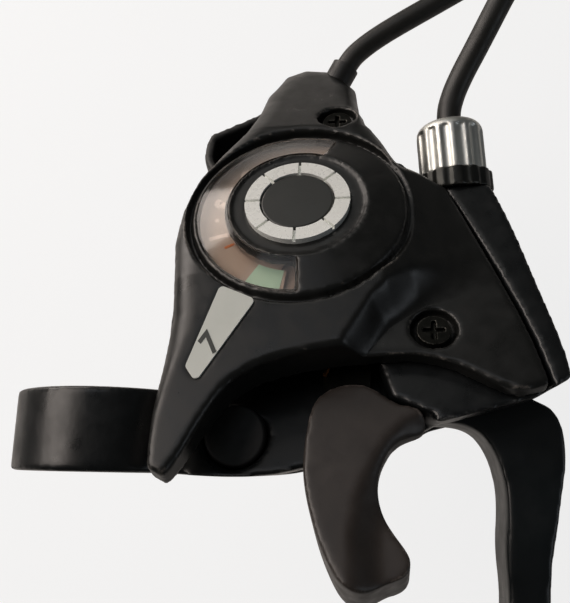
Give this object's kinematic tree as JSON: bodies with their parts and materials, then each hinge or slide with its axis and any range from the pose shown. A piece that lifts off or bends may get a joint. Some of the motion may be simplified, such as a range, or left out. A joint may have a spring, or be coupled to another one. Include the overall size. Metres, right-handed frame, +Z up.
{
  "type": "thumb shifter",
  "caption": "Handlebar clamp bracket with a brake lever and an indexed shift unit: display window, thumb lever, release trigger, adjuster and two cable housings.",
  "frame": {"origin": "centre of the clamp bore, on the handlebar's axis", "axes": "+X along the handlebar towards the grip, +Y forward away from the rider, +Z up"},
  "size_m": [0.2423, 0.14, 0.1023],
  "materials": {
    "bracket_metal": "bluish-black satin paint on cast aluminium",
    "lever_metal": "bluish-black satin paint on forged aluminium",
    "dark_steel": "blackened steel",
    "bright_steel": "zinc-plated steel",
    "plain_steel": "pressed steel",
    "spring_steel": "spring steel",
    "copper_spring": "copper-coloured spring wire",
    "wire_steel": "drawn steel wire",
    "adjuster_metal": "bright turned aluminium",
    "silver_ring": "bright silver plating",
    "bolt_cap": "satin black plastic",
    "bush_plastic": "plain black plastic",
    "ring_plastic": "satin black plastic",
    "housing_plastic": "satin black plastic",
    "drum_plastic": "dark grey plastic",
    "pointer_plastic": "mint green plastic with an orange tip",
    "trigger_plastic": "grey satin plastic",
    "cover_plastic": "charcoal satin plastic",
    "window_plastic": "clear polycarbonate",
    "dial_plastic": "grey-brown plastic with white numerals",
    "cap_plastic": "black plastic",
    "label_film": "off-white printed film",
    "ferrule_plastic": "black plastic",
    "cable_jacket": "black plastic jacket"
  },
  "bodies": {
    "frame": {"bracket": "bracket_metal", "clamp_bolt": "dark_steel", "clamp_nut": "dark_steel", "bolt_cap": "bolt_cap", "lever_pivot_pin": "bright_steel", "lower_housing": "housing_plastic", "unit_screws": "dark_steel", "base_plate": "plain_steel", "plate_standoffs": "plain_steel", "retainer_plate": "plain_steel", "main_axle": "plain_steel", "axle_nut": "dark_steel", "drum_spring": "spring_steel", "hold_pawl_pin": "plain_steel", "trigger_pin": "plain_steel", "thumb_spring": "spring_steel", "top_cover": "cover_plastic", "display_window": "window_plastic", "gear_dial": "dial_plastic", "cap_ring": "silver_ring", "centre_cap": "cap_plastic", "cover_screws": "dark_steel", "speed_label": "label_film", "shift_wire": "wire_steel", "shift_ferrule": "ferrule_plastic", "shift_housing": "cable_jacket", "shift_far_ferrule": "bright_steel", "brake_housing": "cable_jacket", "brake_far_ferrule": "bright_steel"},
    "brake_lever": {"brake_lever": "lever_metal", "pivot_bushes": "bush_plastic", "brake_nipple": "bright_steel"},
    "brake_wire": {"brake_wire": "wire_steel"},
    "barrel_adjuster": {"barrel_adjuster": "adjuster_metal"},
    "lock_ring": {"adjuster_lock_ring": "ring_plastic"},
    "reach_screw": {"reach_screw": "dark_steel"},
    "drum": {"cable_drum": "drum_plastic", "shift_wire_head": "bright_steel", "wound_wire": "wire_steel", "ratchet_wheel": "plain_steel", "gear_pointer": "pointer_plastic"},
    "thumb_lever": {"thumb_lever": "bright_steel", "thumb_paddle": "trigger_plastic", "drive_plate": "plain_steel"},
    "feed_pawl": {"feed_pawl": "plain_steel"},
    "trigger": {"release_arm": "plain_steel", "release_trigger": "trigger_plastic", "trigger_spring": "copper_spring"},
    "hold_pawl": {"hold_pawl": "plain_steel"}
  },
  "joints": [
    {"name": "brake_lever_pivot", "type": "hinge", "parent": "frame", "child": "brake_lever", "pos_m": [-0.006, 0.035, -0.0095], "axis": [0, 0, -1], "range_deg": [0, 20], "stiffness_Nm_per_rad": 0.15, "springref_deg": -17.19},
    {"name": "brake_wire_pull", "type": "slide", "parent": "frame", "child": "brake_wire", "axis": [0.996, 0.0835, 0.0316], "range_m": [0, 0.0098]},
    {"name": "barrel_adjuster_turn", "type": "hinge", "parent": "frame", "child": "barrel_adjuster", "pos_m": [-0.045, 0.0591, -0.0115], "axis": [-0.9957, -0.0609, 0.0698], "continuous": true},
    {"name": "lock_ring_turn", "type": "hinge", "parent": "frame", "child": "lock_ring", "pos_m": [-0.045, 0.0591, -0.0115], "axis": [-0.9957, -0.0609, 0.0698], "continuous": true},
    {"name": "reach_screw_turn", "type": "hinge", "parent": "frame", "child": "reach_screw", "pos_m": [-0.0155, 0.071, -0.0095], "axis": [0, 1, 0], "continuous": true},
    {"name": "drum_turn", "type": "hinge", "parent": "frame", "child": "drum", "pos_m": [-0.03075, 0.0314, -0.01305], "axis": [0.3907, 0, -0.9205], "range_deg": [0, 92.4]},
    {"name": "thumb_lever_swing", "type": "hinge", "parent": "frame", "child": "thumb_lever", "pos_m": [-0.03075, 0.0314, -0.01305], "axis": [-0.3907, 0, 0.9205], "range_deg": [0, 30], "stiffness_Nm_per_rad": 0.05, "springref_deg": -20.05},
    {"name": "feed_pawl_swing", "type": "hinge", "parent": "thumb_lever", "child": "feed_pawl", "pos_m": [-0.03499, 0.04409, -0.01486], "axis": [0.3907, 0, -0.9205], "range_deg": [0, 8], "stiffness_Nm_per_rad": 0.0005, "springref_deg": -17.19},
    {"name": "release_trigger_pull", "type": "hinge", "parent": "frame", "child": "trigger", "pos_m": [-0.01988, 0.039, -0.00051], "axis": [0.3907, 0, -0.9205], "range_deg": [0, 12], "stiffness_Nm_per_rad": 0.05, "springref_deg": -17.19},
    {"name": "hold_pawl_swing", "type": "hinge", "parent": "frame", "child": "hold_pawl", "pos_m": [-0.01988, 0.0275, -0.00844], "axis": [-0.3907, 0, 0.9205], "range_deg": [0, 10.9]}
  ],
  "couplings": [
    {"joint": "brake_wire_pull", "follows": "brake_lever_pivot", "m_per_rad": 0.027737},
    {"joint": "hold_pawl_swing", "follows": "release_trigger_pull", "ratio": 0.9}
  ]
}
